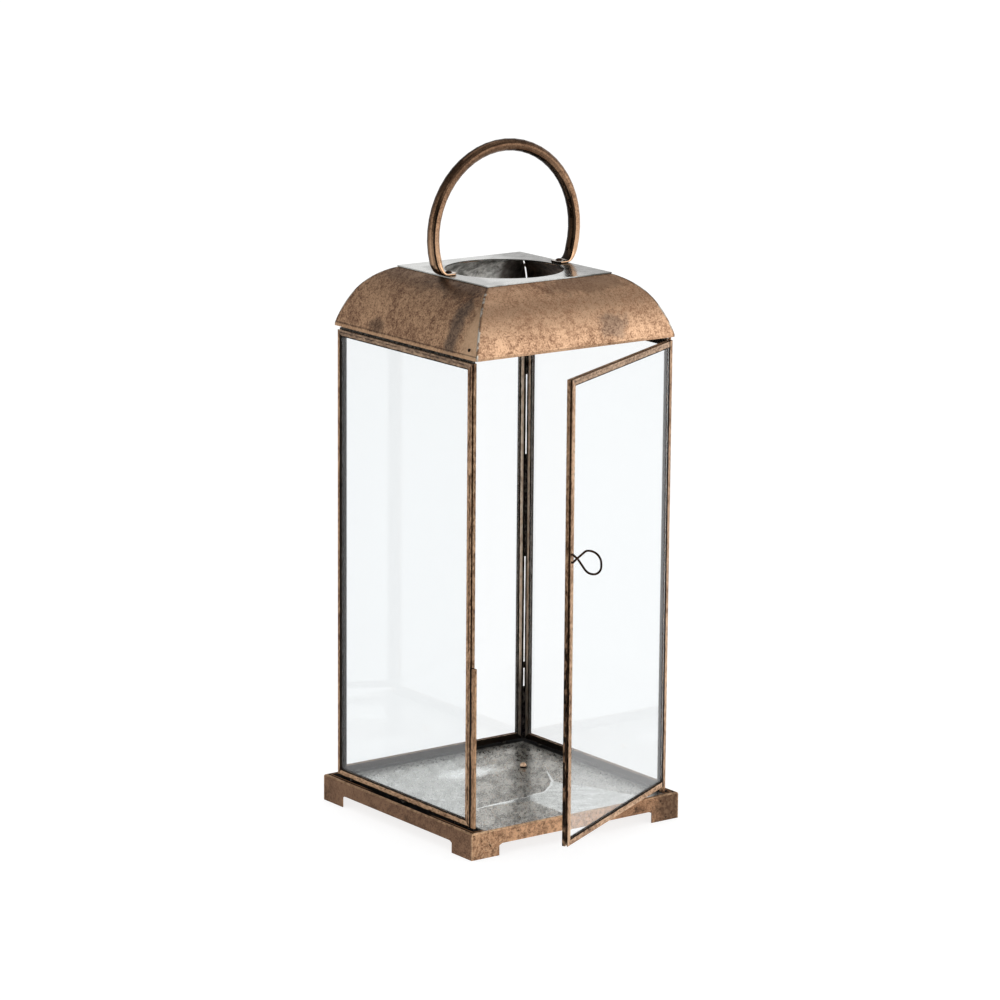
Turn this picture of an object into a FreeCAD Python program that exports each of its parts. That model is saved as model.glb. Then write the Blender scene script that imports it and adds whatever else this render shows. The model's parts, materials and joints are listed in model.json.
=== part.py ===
import FreeCAD, Part
import math
import os

os.makedirs("parts", exist_ok=True)
Vector = FreeCAD.Vector
UP = Vector(0, 0, 1)

# Driving sizes in millimetres. The origin is on the ground, midway between the four feet.
# +Z is up, and the door is in the front face, which looks along -Y.

# Base: an upside-down tray of folded sheet, with four feet left standing in its skirt
base_width = 180.0
base_height = 19.0
base_sheet = 0.8
base_fold_radius = 1.6
foot_width = 23.5
foot_height = 8.4
foot_bevel_run = 2.6
foot_bevel_rise = 1.2
base_ledge = 5.0

# Rivets have domed heads, turned in a few steps; one is in the floor, which is the top of the tray
dome_steps = 3
floor_rivet_x = 37.3
floor_rivet_y = 22.6
floor_rivet_head = 4.8
floor_rivet_rise = 1.7
floor_rivet_shank = 2.4
floor_rivet_tail = 0.8

# Framing strip: thin sheet folded round the glass on one edge, with a narrow open fold in the other
strip_sheet = 0.55
strip_fold_gap = 1.3
strip_fold_depth = 2.0
strip_slot = 1.85
glass_thick = 2.4
glass_side_gap = 0.35
glass_edge_gap = 0.3

# Body: three framed panes, soldered edge to edge at the back corners
panel_height = 322.0
corner_gap = 1.2
front_gap = 0.4
base_solder_height = 1.6
base_solder_radius = 2.1
roof_solder_height = 2.2
roof_solder_width = 2.2
roof_solder_inset = 1.9
roof_solder_end_gap = 1.5
solder_per_rail = 3
solder_sides = 12
solder_end_margin = 16.0
corner_solder_leg = 2.6
corner_solder_low = 34.0
corner_solder_mid = 72.0
corner_solder_high = 17.0
corner_solder_mid_height = 236.0

# Roof: four curved panels between the eave and a flat top plate with a round vent
eave_setback = 0.7
eave_lip = 1.8
eave_lean = 14.5
knee_angle = 30.0
lower_radius = 90.0
upper_radius = 42.0
roof_sheet = 0.7
eave_flange = 9.0
top_flange = 9.4
hip_gap = 0.1
wide_hip_gap = 1.0
hip_solder_radius = 1.3
hip_solder_count = 3
plate_setback = 31.3
plate_overlap = 0.6
plate_sheet = 0.8
plate_rim = 11.6
roof_rivet_head = 3.0
roof_rivet_rise = 0.8
roof_rivet_shank = 1.6
roof_rivet_inset = 10.6
roof_rivet_angle = 17.6

# Handle: a round bar bent to a ring, with its two ends beaten flat and riveted to the top plate
handle_bar = 8.6
handle_overhang = 7.4
handle_ring_rise = 25.8
handle_arc_end = 16.0
handle_tab_width = 11.0
handle_tab_thick = 1.6
handle_tab_start = 2.1
handle_tab_tip = 10.0
handle_tab_round = 2.5
foot_steps = 6
ring_steps = 30
bar_sides = 20
handle_rivet_inset = 5.6
handle_rivet_head = 5.2
handle_rivet_rise = 1.4
handle_rivet_shank = 2.6

# Door: a fourth framed pane that turns on a full-length rod in its rolled hinge stile
rod_diameter = 2.0
rod_tail = 1.5
hinge_inset = 2.4
hinge_flat = 5.0
hinge_collar_wall = 1.1
door_floor_gap = 4.2
door_roof_gap = 2.5
door_edge_gap = 0.6
door_open_angle = 28.0

# Closing strip on the free side of the doorway: a hollow folded fin for the door to shut against
catch_height = 112.4
catch_reach = 5.5
catch_width = 2.1
catch_sheet = 0.5
catch_inset = 0.3
catch_fold = 0.7

# Pull: one wire bent to a crossed loop, its two ends soldered into the free stile
wire_diameter = 1.5
wire_sides = 10
loop_height = 198.8
loop_reach = 21.6
loop_back = 11.2
loop_rise = 6.9
loop_drop = 9.2
loop_top_bend = 7.9
loop_tip_bend = 6.6
loop_heel_bend = 7.0
loop_shoulder_bend = 4.5
loop_neck_out = 4.2
loop_neck_rise = 0.4
loop_neck_aside = 1.1
loop_neck_bend = 3.0
loop_foot_spread = 2.7
loop_foot_out = 1.0
loop_foot_bend = 0.8
loop_foot_from_edge = 1.0
loop_foot_depth = 1.6

# Clearances
running_gap = 0.05
seat_gap = 0.02
thrust_gap = 0.05

# How far a cutting shape runs past what it cuts
cut_over = 1.0

# Sizes that follow from the ones above
base_half = base_width / 2
body_half = base_half - base_ledge
eave_half = body_half - eave_setback
plate_half = eave_half - plate_setback
vent_radius = plate_half - plate_rim
handle_ring_radius = plate_half + handle_overhang
strip_thick = glass_thick + 2 * glass_side_gap + 2 * strip_sheet
strip_web = strip_fold_depth + strip_sheet
strip_depth = strip_web + strip_slot
panel_bottom = base_height + base_solder_height
panel_top = panel_bottom + panel_height
eave_z = panel_top + roof_solder_height
inner_half = body_half - strip_thick
panel_back = inner_half - corner_gap
hinge_offset = eave_half - hinge_inset
barrel_radius = strip_thick / 2
panel_front = barrel_radius - hinge_offset + front_gap
door_bottom = base_height + door_floor_gap
door_top = eave_z - door_roof_gap
door_height = door_top - door_bottom
rod_radius = rod_diameter / 2
catch_front = panel_front - catch_reach
catch_left = -body_half + catch_inset
catch_right = catch_left + catch_width
door_free = catch_right + door_edge_gap
hinge_edge = hinge_offset - hinge_flat
hinge_point = Vector(hinge_offset, -hinge_offset, 0)


def polygon(points):
    return Part.Face(Part.makePolygon(points + [points[0]]))


def prism(points, direction):
    return polygon(points).extrude(direction)


def cylinder(radius, bottom, top, x, y):
    return Part.makeCylinder(radius, top - bottom, Vector(x, y, bottom))


def turned(shape, angle, place):
    result = shape.copy()
    result.rotate(Vector(0, 0, 0), UP, angle)
    result.translate(place)
    return result


def save(name, shape):
    if shape.isNull() or not shape.isValid():
        raise ValueError("bad solid " + name)
    shape.exportStep("parts/" + name + ".step")


def save_group(name, solids):
    save(name, Part.makeCompound(solids))


def spread(count, low, high):
    return [low + (high - low) * i / (count - 1) for i in range(count)]


def rivet(head, rise, shank, length):
    profile = [
        Vector(0, 0, -length),
        Vector(shank / 2, 0, -length),
        Vector(shank / 2, 0, 0),
        Vector(head / 2, 0, 0),
    ]
    crown = (head * head / 4 + rise * rise) / (2 * rise)
    rim = math.acos((crown - rise) / crown)
    for step in range(1, dome_steps + 1):
        angle = rim * (1 - step / dome_steps)
        profile.append(Vector(crown * math.sin(angle), 0, rise - crown + crown * math.cos(angle)))
    return polygon(profile).revolve(Vector(0, 0, 0), UP, 360)


# Base tray: skirt and top in one sheet, rounded along the folds, with a cut-out between the feet
def rounded_block(half, top, radius):
    block = Part.makeBox(2 * half, 2 * half, top, Vector(-half, -half, 0))
    folds = []
    for edge in block.Edges:
        if edge.BoundBox.ZMin > top / 2:
            folds.append(edge)
    return block.makeFillet(radius, folds)


def skirt_cutout():
    low_half = base_half - foot_width
    high_half = low_half - foot_bevel_run
    corner = foot_height - foot_bevel_rise
    front = -base_half - cut_over
    outline = [
        Vector(-low_half, front, -cut_over),
        Vector(-low_half, front, corner),
        Vector(-high_half, front, foot_height),
        Vector(high_half, front, foot_height),
        Vector(low_half, front, corner),
        Vector(low_half, front, -cut_over),
    ]
    return prism(outline, Vector(0, base_sheet + 2 * cut_over, 0))


base = rounded_block(base_half, base_height, base_fold_radius)
cavity_fold = base_fold_radius - base_sheet
base = base.cut(rounded_block(base_half - base_sheet, base_height - base_sheet, cavity_fold))
for quarter in range(4):
    base = base.cut(turned(skirt_cutout(), 90 * quarter, Vector(0, 0, 0)))
rod_bottom = base_height - base_sheet - rod_tail
rod_hole = cylinder(
    rod_radius + seat_gap, rod_bottom, base_height + cut_over, hinge_offset, -hinge_offset
)
base = base.cut(rod_hole)
floor_rivet_hole = cylinder(
    floor_rivet_shank / 2 + seat_gap, 0, base_height + cut_over, floor_rivet_x, floor_rivet_y
)
base = base.cut(floor_rivet_hole)
save("base_tray", base)

pin = rivet(
    floor_rivet_head, floor_rivet_rise, floor_rivet_shank, base_sheet + floor_rivet_tail
)
save("floor_rivet", turned(pin, 0, Vector(floor_rivet_x, floor_rivet_y, base_height)))


# Framing strip: X runs from the open fold to the glass, Y in from the outer face, Z along it
def strip(length, mitre_start, mitre_end):
    near = strip_sheet
    fold = near + strip_fold_gap
    far = strip_thick - strip_sheet
    section = [
        Vector(0, 0, 0),
        Vector(strip_depth, 0, 0),
        Vector(strip_depth, near, 0),
        Vector(strip_web, near, 0),
        Vector(strip_web, far, 0),
        Vector(strip_depth, far, 0),
        Vector(strip_depth, strip_thick, 0),
        Vector(0, strip_thick, 0),
        Vector(0, fold, 0),
        Vector(strip_fold_depth, fold, 0),
        Vector(strip_fold_depth, near, 0),
        Vector(0, near, 0),
    ]
    bar = prism(section, Vector(0, 0, length))
    reach = strip_depth + cut_over
    kept = [
        Vector(-cut_over, -cut_over, -cut_over * mitre_start),
        Vector(reach, -cut_over, reach * mitre_start),
        Vector(reach, -cut_over, length - reach * mitre_end),
        Vector(-cut_over, -cut_over, length + cut_over * mitre_end),
    ]
    return bar.common(prism(kept, Vector(0, strip_thick + 2 * cut_over, 0)))


# A framed pane lies in XZ with its outer face at Y = 0 and its lower left corner at the origin
def first_stile(height):
    return strip(height, 1, 1)


def last_stile(width, height):
    stile = strip(height, 1, 1).mirror(Vector(0, 0, 0), Vector(1, 0, 0))
    stile.translate(Vector(width, 0, 0))
    return stile


def bottom_rail(width, mitre_right):
    rail = strip(width, mitre_right, 1)
    rail.rotate(Vector(0, 0, 0), Vector(0, 1, 0), -90)
    rail.translate(Vector(width, 0, 0))
    return rail


def top_rail(width, height, mitre_right):
    rail = strip(width, 1, mitre_right)
    rail.rotate(Vector(0, 0, 0), Vector(0, 1, 0), 90)
    rail.translate(Vector(0, 0, height))
    return rail


def pane(left, right, height):
    inset = strip_web + glass_edge_gap
    size = Vector(right - left, glass_thick, height - strip_web - inset)
    depth = strip_sheet + glass_side_gap
    return Part.makeBox(size.x, size.y, size.z, Vector(left, depth, strip_web))


def framed_panel(side, width, angle, place, first_name, last_name):
    glass_inset = strip_web + glass_edge_gap
    pieces = {
        "glass": pane(glass_inset, width - glass_inset, panel_height),
        first_name: first_stile(panel_height),
        last_name: last_stile(width, panel_height),
        "bottom_rail": bottom_rail(width, 1),
        "top_rail": top_rail(width, panel_height, 1),
    }
    for piece_name, piece in pieces.items():
        save(side + "_" + piece_name, turned(piece, angle, place))


side_width = panel_back - panel_front
back_width = 2 * panel_back
left_place = Vector(-body_half, panel_back, panel_bottom)
right_place = Vector(body_half, panel_front, panel_bottom)
back_place = Vector(panel_back, body_half, panel_bottom)
framed_panel("left", side_width, -90, left_place, "back_stile", "front_stile")
framed_panel("right", side_width, 90, right_place, "front_stile", "back_stile")
framed_panel("back", back_width, 180, back_place, "right_stile", "left_stile")


# Solder: fillets in the two back corners, dots under each fixed panel and a run over its top rail
def corner_fillet(side, low, high):
    corner = [
        Vector(side * panel_back, panel_back, low),
        Vector(side * (panel_back + corner_solder_leg), panel_back, low),
        Vector(side * panel_back, panel_back + corner_solder_leg, low),
    ]
    return prism(corner, Vector(0, 0, high - low))


mid_low = corner_solder_mid_height - corner_solder_mid / 2
mid_high = corner_solder_mid_height + corner_solder_mid / 2
corner_runs = [
    (panel_bottom, panel_bottom + corner_solder_low),
    (mid_low, mid_high),
    (panel_top - corner_solder_high, panel_top),
]
corner_solder = []
for side in (-1, 1):
    for low, high in corner_runs:
        corner_solder.append(corner_fillet(side, low, high))
save_group("corner_solder", corner_solder)


def solder_dot(radius, low, high, x, y):
    rim = []
    for i in range(solder_sides):
        turn = 2 * math.pi * i / solder_sides
        rim.append(Vector(x + radius * math.cos(turn), y + radius * math.sin(turn), low))
    return prism(rim, Vector(0, 0, high - low))


rail_line = body_half - barrel_radius
dot_low = panel_front + solder_end_margin
dot_high = panel_back - solder_end_margin
base_dots = [(-rail_line, along) for along in spread(solder_per_rail, dot_low, dot_high)]
base_dots += [(rail_line, along) for along in spread(solder_per_rail, dot_low, dot_high)]
base_dots += [(along, rail_line) for along in spread(solder_per_rail, -dot_high, dot_high)]
base_solder = []
for x, y in base_dots:
    base_solder.append(solder_dot(base_solder_radius, base_height, panel_bottom, x, y))
save_group("base_solder", base_solder)


def roof_run(low, high, angle):
    run = Part.makeBox(
        roof_solder_width,
        high - low,
        roof_solder_height,
        Vector(body_half - roof_solder_inset - roof_solder_width, low, panel_top),
    )
    return turned(run, angle, Vector(0, 0, 0))


run_front = panel_front + roof_solder_end_gap
run_back = panel_back - roof_solder_end_gap
roof_runs = [
    roof_run(run_front, run_back, 0),
    roof_run(-run_back, run_back, 90),
    roof_run(-run_back, -run_front, 180),
]
save_group("roof_solder", roof_runs)

# Roof profile: lip, two tangent arcs and a top flange, as distance from the middle and height
lean = math.radians(eave_lean)
knee = math.radians(knee_angle)
lip_top = eave_z + eave_lip
lower_x = eave_half - lower_radius * math.cos(lean)
lower_z = lip_top - lower_radius * math.sin(lean)
upper_x = lower_x + (lower_radius - upper_radius) * math.cos(knee)
upper_z = lower_z + (lower_radius - upper_radius) * math.sin(knee)
roof_top = plate_half - plate_overlap
crest = math.acos((roof_top - upper_x) / upper_radius)
plate_z = upper_z + upper_radius * math.sin(crest)
plate_top = plate_z + plate_sheet
flange_edge = roof_top - top_flange


def on_arc(centre_x, centre_z, radius, angle):
    return centre_x + radius * math.cos(angle), centre_z + radius * math.sin(angle)


def roof_point(distance, height):
    return Vector(-eave_half, -distance, height)


def roof_arc(centre_x, centre_z, radius, start, end):
    angles = (start, (start + end) / 2, end)
    points = [roof_point(*on_arc(centre_x, centre_z, radius, angle)) for angle in angles]
    return Part.Arc(points[0], points[1], points[2]).toShape()


def roof_line_to(start, end):
    return Part.makeLine(roof_point(*start), roof_point(*end))


def roof_profile():
    inner_lower = lower_radius - roof_sheet
    inner_upper = upper_radius - roof_sheet
    inner_lip = eave_half - roof_sheet
    inner_lean = math.acos((inner_lip - lower_x) / inner_lower)
    inner_crest = math.asin((plate_z - roof_sheet - upper_z) / inner_upper)
    foot = (eave_half, eave_z)
    lip = on_arc(lower_x, lower_z, lower_radius, lean)
    crown = on_arc(upper_x, upper_z, upper_radius, crest)
    tip = (flange_edge, plate_z)
    tip_under = (flange_edge, plate_z - roof_sheet)
    crown_under = on_arc(upper_x, upper_z, inner_upper, inner_crest)
    lip_inside = on_arc(lower_x, lower_z, inner_lower, inner_lean)
    foot_inside = (inner_lip, eave_z + roof_sheet)
    hem_top = (eave_half - eave_flange, eave_z + roof_sheet)
    hem = (eave_half - eave_flange, eave_z)
    edges = [
        roof_line_to(foot, lip),
        roof_arc(lower_x, lower_z, lower_radius, lean, knee),
        roof_arc(upper_x, upper_z, upper_radius, knee, crest),
        roof_line_to(crown, tip),
        roof_line_to(tip, tip_under),
        roof_line_to(tip_under, crown_under),
        roof_arc(upper_x, upper_z, inner_upper, inner_crest, knee),
        roof_arc(lower_x, lower_z, inner_lower, knee, inner_lean),
        roof_line_to(lip_inside, foot_inside),
        roof_line_to(foot_inside, hem_top),
        roof_line_to(hem_top, hem),
        roof_line_to(hem, foot),
    ]
    return Part.Face(Part.Wire(edges))


# Each panel is rolled across its width and cut along the two hips, with half a seam at each
def roof_panel(left_gap, right_gap):
    rolled = roof_profile().extrude(Vector(2 * eave_half, 0, 0))
    left_back = left_gap / math.sqrt(2)
    right_back = right_gap / math.sqrt(2)
    wide = eave_half + cut_over
    low = eave_z - cut_over
    apex = (left_back - right_back) / 2
    outline = [
        Vector(apex, apex - left_back, low),
        Vector(-wide, -wide - left_back, low),
        Vector(-wide, -3 * wide, low),
        Vector(wide, -3 * wide, low),
        Vector(wide, -wide - right_back, low),
    ]
    return rolled.common(prism(outline, Vector(0, 0, plate_top - eave_z + 2 * cut_over)))


def tilted_rivet(head, rise, shank, length, side):
    angle = math.radians(roof_rivet_angle)
    distance, height = on_arc(lower_x, lower_z, lower_radius, angle)
    piece = rivet(head, rise, shank, length)
    piece.rotate(Vector(0, 0, 0), Vector(0, 1, 0), 90 - roof_rivet_angle)
    piece.translate(Vector(distance, 0, height))
    if side < 0:
        piece = turned(piece, 180, Vector(0, 0, 0))
    piece.translate(Vector(0, roof_rivet_inset - eave_half, 0))
    return piece


roof_rivet_length = 2 * roof_sheet
roof_rivets = []
roof_rivet_holes = []
for side in (-1, 1):
    roof_rivets.append(
        tilted_rivet(roof_rivet_head, roof_rivet_rise, roof_rivet_shank, roof_rivet_length, side)
    )
    angle = math.radians(roof_rivet_angle)
    distance, height = on_arc(lower_x, lower_z, lower_radius, angle)
    outward = Vector(side * math.cos(angle), 0, math.sin(angle))
    start = Vector(side * distance, roof_rivet_inset - eave_half, height) - outward * roof_rivet_length
    roof_rivet_holes.append(
        Part.makeCylinder(roof_rivet_shank / 2 + seat_gap, 2 * roof_rivet_length, start, outward)
    )
save_group("roof_rivets", roof_rivets)

handle_rivet_x = plate_half - handle_rivet_inset
rivet_hole_radius = handle_rivet_shank / 2 + seat_gap
handle_hole_low = plate_z - roof_sheet - cut_over
handle_hole_high = plate_top + handle_tab_thick + cut_over
handle_holes = []
for side in (-1, 1):
    handle_holes.append(
        cylinder(rivet_hole_radius, handle_hole_low, handle_hole_high, side * handle_rivet_x, 0)
    )
flange_top = eave_z + roof_sheet
roof_rod_hole = cylinder(
    rod_radius + seat_gap, eave_z - cut_over, flange_top + cut_over, hinge_offset, -hinge_offset
)
roof_pieces = {
    "roof_front": (roof_panel(hip_gap, hip_gap), 0),
    "roof_right": (roof_panel(hip_gap, wide_hip_gap), 90),
    "roof_back": (roof_panel(wide_hip_gap, hip_gap), 180),
    "roof_left": (roof_panel(hip_gap, hip_gap), 270),
}
for piece_name, (piece, angle) in roof_pieces.items():
    panel = turned(piece, angle, Vector(0, 0, 0))
    for hole in roof_rivet_holes + handle_holes + [roof_rod_hole]:
        panel = panel.cut(hole)
    save(piece_name, panel)

# Solder dots bridging the one hip that was left open, at the back right
hip_solder = []
first_dot = lean + (knee - lean) / 3
last_dot = crest - (crest - knee) / 4
for angle in spread(hip_solder_count, first_dot, last_dot):
    if angle < knee:
        distance, height = on_arc(lower_x, lower_z, lower_radius - roof_sheet / 2, angle)
    else:
        distance, height = on_arc(upper_x, upper_z, upper_radius - roof_sheet / 2, angle)
    dot = solder_dot(hip_solder_radius, -wide_hip_gap / 2, wide_hip_gap / 2, 0, 0)
    dot.rotate(Vector(0, 0, 0), Vector(1, 1, 0), 90)
    dot.translate(Vector(distance, distance, height))
    hip_solder.append(dot)
save_group("hip_solder", hip_solder)

# Top plate with the vent
plate = Part.makeBox(
    2 * plate_half, 2 * plate_half, plate_sheet, Vector(-plate_half, -plate_half, plate_z)
)
plate = plate.cut(cylinder(vent_radius, plate_z - cut_over, plate_top + cut_over, 0, 0))
for hole in handle_holes:
    plate = plate.cut(hole)
save("top_plate", plate)


# Handle: one loft along the ring, its two ends changing from round bar to a flat riveted tab
def section(point, tangent, half_width, half_thick, squareness):
    normal = Vector(-tangent.z, 0, tangent.x)
    points = []
    for i in range(bar_sides):
        turn = 2 * math.pi * i / bar_sides
        cosine = math.cos(turn)
        sine = math.sin(turn)
        across = math.copysign(abs(cosine) ** (2 / squareness), cosine) * half_width
        rise = math.copysign(abs(sine) ** (2 / squareness), sine) * half_thick
        points.append(point + Vector(0, across, 0) + normal * rise)
    return Part.makePolygon(points + points[:1])


ring_z = plate_top + handle_ring_rise
tab_z = plate_top + handle_tab_thick / 2 + seat_gap
arc_end = math.radians(handle_arc_end)
bar_radius = handle_bar / 2
tab_half = handle_tab_width / 2
tab_thin = handle_tab_thick / 2


def ring_point(angle):
    return Vector(math.cos(angle), 0, math.sin(angle)) * handle_ring_radius + Vector(0, 0, ring_z)


def ring_tangent(angle):
    return Vector(-math.sin(angle), 0, math.cos(angle))


# The right foot from the ring's end to the tip of the tab, as place, heading, size and squareness
def foot_stations():
    start = ring_point(-arc_end)
    heading = ring_tangent(-arc_end) * -1
    bend = start + heading * ((tab_z - start.z) / heading.z)
    tab_start = Vector(plate_half - handle_tab_start, 0, tab_z)
    stations = []
    for i in range(1, foot_steps + 1):
        step = i / foot_steps
        point = start * (1 - step) ** 2 + bend * (2 * step * (1 - step)) + tab_start * step**2
        tangent = (bend - start) * (2 - 2 * step) + (tab_start - bend) * (2 * step)
        tangent.normalize()
        width = bar_radius + (tab_half - bar_radius) * step
        thick = tab_thin + (bar_radius - tab_thin) * (1 - step) ** 1.5
        stations.append((point, tangent, width, thick, 2 + 2 * step))
    tip_x = plate_half - handle_tab_tip
    inward = Vector(-1, 0, 0)
    for from_tip, share in ((handle_tab_round, 1.0), (0.0, 0.6)):
        stations.append((Vector(tip_x + from_tip, 0, tab_z), inward, tab_half * share, tab_thin, 4))
    return stations


handle_sections = []
for point, tangent, width, thick, squareness in reversed(foot_stations()):
    handle_sections.append(section(point, tangent * -1, width, thick, squareness))
for i in range(ring_steps + 1):
    angle = -arc_end + (math.pi + 2 * arc_end) * i / ring_steps
    handle_sections.append(
        section(ring_point(angle), ring_tangent(angle), bar_radius, bar_radius, 2)
    )
for point, tangent, width, thick, squareness in foot_stations():
    other_side = Vector(-point.x, 0, point.z)
    other_way = Vector(-tangent.x, 0, tangent.z)
    handle_sections.append(section(other_side, other_way, width, thick, squareness))
handle = Part.makeLoft(handle_sections, True, True)
for hole in handle_holes:
    handle = handle.cut(hole)
save("handle", handle)

handle_rivets = []
for side in (-1, 1):
    grip = handle_tab_thick + plate_sheet + 2 * roof_sheet
    pin = rivet(handle_rivet_head, handle_rivet_rise, handle_rivet_shank, grip)
    seat = tab_z + tab_thin + seat_gap
    handle_rivets.append(turned(pin, 0, Vector(side * handle_rivet_x, 0, seat)))
save_group("handle_rivets", handle_rivets)

# Closing strip: a U of folded sheet set on the front edge of the left panel's front stile
catch_outer = Part.makeBox(
    catch_width, catch_reach, catch_height, Vector(catch_left, catch_front, panel_bottom)
)
fold_edges = []
for edge in catch_outer.Edges:
    box = edge.BoundBox
    if box.ZLength > catch_height / 2 and box.YMax < catch_front + catch_sheet:
        fold_edges.append(edge)
catch_outer = catch_outer.makeFillet(catch_fold, fold_edges)
catch_inner = Part.makeBox(
    catch_width - 2 * catch_sheet,
    catch_reach,
    catch_height + 2 * cut_over,
    Vector(catch_left + catch_sheet, catch_front + catch_sheet, panel_bottom - cut_over),
)
save("closing_strip", catch_outer.cut(catch_inner))

# Hinge rod, fixed in the base and the eave, and the collar that carries the door
rod_top = flange_top + rod_tail
save("hinge_rod", cylinder(rod_radius, rod_bottom, rod_top, hinge_offset, -hinge_offset))
collar_top = door_bottom - thrust_gap
collar_radius = rod_radius + hinge_collar_wall
collar = cylinder(collar_radius, base_height, collar_top, hinge_offset, -hinge_offset)
collar_bore = cylinder(
    rod_radius + seat_gap, rod_bottom, collar_top + cut_over, hinge_offset, -hinge_offset
)
save("hinge_collar", collar.cut(collar_bore))


# Door, drawn shut and then swung out about the rod
def swung(shape):
    result = shape.copy()
    result.rotate(hinge_point, UP, door_open_angle)
    return result


door_outer = -hinge_offset - barrel_radius
door_place = Vector(door_free, door_outer, door_bottom)
rail_length = hinge_edge - door_free


def hung(shape):
    return swung(turned(shape, 0, door_place))


def hinge_stile():
    slot_half = barrel_radius - strip_sheet
    slot_end = hinge_edge + strip_slot
    near = -hinge_offset - barrel_radius
    far = -hinge_offset + barrel_radius
    edges = [
        Part.makeLine(Vector(hinge_edge, near, 0), Vector(hinge_offset, near, 0)),
        Part.Arc(
            Vector(hinge_offset, near, 0),
            Vector(hinge_offset + barrel_radius, -hinge_offset, 0),
            Vector(hinge_offset, far, 0),
        ).toShape(),
        Part.makeLine(Vector(hinge_offset, far, 0), Vector(hinge_edge, far, 0)),
        Part.makePolygon(
            [
                Vector(hinge_edge, far, 0),
                Vector(hinge_edge, -hinge_offset + slot_half, 0),
                Vector(slot_end, -hinge_offset + slot_half, 0),
                Vector(slot_end, -hinge_offset - slot_half, 0),
                Vector(hinge_edge, -hinge_offset - slot_half, 0),
                Vector(hinge_edge, near, 0),
            ]
        ),
    ]
    outline = []
    for edge in edges:
        outline.extend(edge.Edges)
    bar = Part.Face(Part.Wire(outline)).extrude(Vector(0, 0, door_height))
    bar.translate(Vector(0, 0, door_bottom))
    low = door_bottom - cut_over
    high = door_top + cut_over
    return bar.cut(cylinder(rod_radius + running_gap, low, high, hinge_offset, -hinge_offset))


loop_z = loop_height + door_bottom
loop_x = door_free + loop_foot_from_edge
loop_feet = (loop_z + loop_foot_spread, loop_z - loop_foot_spread)
free_stile = turned(first_stile(door_height), 0, door_place)
for height in loop_feet:
    foot_hole = Part.makeCylinder(
        wire_diameter / 2 + seat_gap,
        loop_foot_depth + cut_over,
        Vector(loop_x, door_outer - cut_over, height),
        Vector(0, 1, 0),
    )
    free_stile = free_stile.cut(foot_hole)
save("door_free_stile", swung(free_stile))
save("door_hinge_stile", swung(hinge_stile()))
save("door_bottom_rail", hung(bottom_rail(rail_length, 0)))
save("door_top_rail", hung(top_rail(rail_length, door_height, 0)))
glass_left = strip_web + glass_edge_gap
glass_right = rail_length + strip_slot - glass_edge_gap
save("door_glass", hung(pane(glass_left, glass_right, door_height)))

# Pull loop: out of one foot, across the neck, round the drop and back to the other foot.
# Each corner is how far out it is, how far above the middle, how far aside, and its bend radius.
loop_corners = [
    (-loop_foot_depth, loop_foot_spread, 0.0, 0.0),
    (loop_foot_out, loop_foot_spread, 0.0, loop_foot_bend),
    (loop_neck_out, -loop_neck_rise, loop_neck_aside, loop_neck_bend),
    (loop_back, -loop_drop, loop_neck_aside, loop_heel_bend),
    (loop_reach, -loop_drop, loop_neck_aside / 2, loop_tip_bend),
    (loop_reach, loop_rise, -loop_neck_aside / 2, loop_top_bend),
    (loop_back, loop_rise, -loop_neck_aside, loop_shoulder_bend),
    (loop_neck_out, loop_neck_rise, -loop_neck_aside, loop_neck_bend),
    (loop_foot_out, -loop_foot_spread, 0.0, loop_foot_bend),
    (-loop_foot_depth, -loop_foot_spread, 0.0, 0.0),
]


def bent_wire(corners, radii):
    edges = []
    here = corners[0]
    for index in range(1, len(corners) - 1):
        corner = corners[index]
        back = (corners[index - 1] - corner).normalize()
        ahead = (corners[index + 1] - corner).normalize()
        half_turn = (math.pi - back.getAngle(ahead)) / 2
        setback = radii[index] * math.tan(half_turn)
        bisector = (back + ahead).normalize()
        apex = corner + bisector * (radii[index] / math.cos(half_turn) - radii[index])
        edges.append(Part.makeLine(here, corner + back * setback))
        arc = Part.Arc(corner + back * setback, apex, corner + ahead * setback)
        edges.append(arc.toShape())
        here = corner + ahead * setback
    edges.append(Part.makeLine(here, corners[-1]))
    return Part.Wire(edges)


loop_points = []
for out, rise, aside, bend in loop_corners:
    loop_points.append(Vector(loop_x + aside, door_outer - out, loop_z + rise))
spine = bent_wire(loop_points, [corner[3] for corner in loop_corners])
wire_end = []
for i in range(wire_sides):
    turn = 2 * math.pi * i / wire_sides
    wire_end.append(loop_points[0] + Vector(math.cos(turn), 0, math.sin(turn)) * (wire_diameter / 2))
loop = spine.makePipeShell([Part.makePolygon(wire_end + wire_end[:1])], True, False)
save("pull_loop", swung(loop))
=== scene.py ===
import json
import math

import bmesh
import bpy
from mathutils import Matrix, Vector


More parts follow.
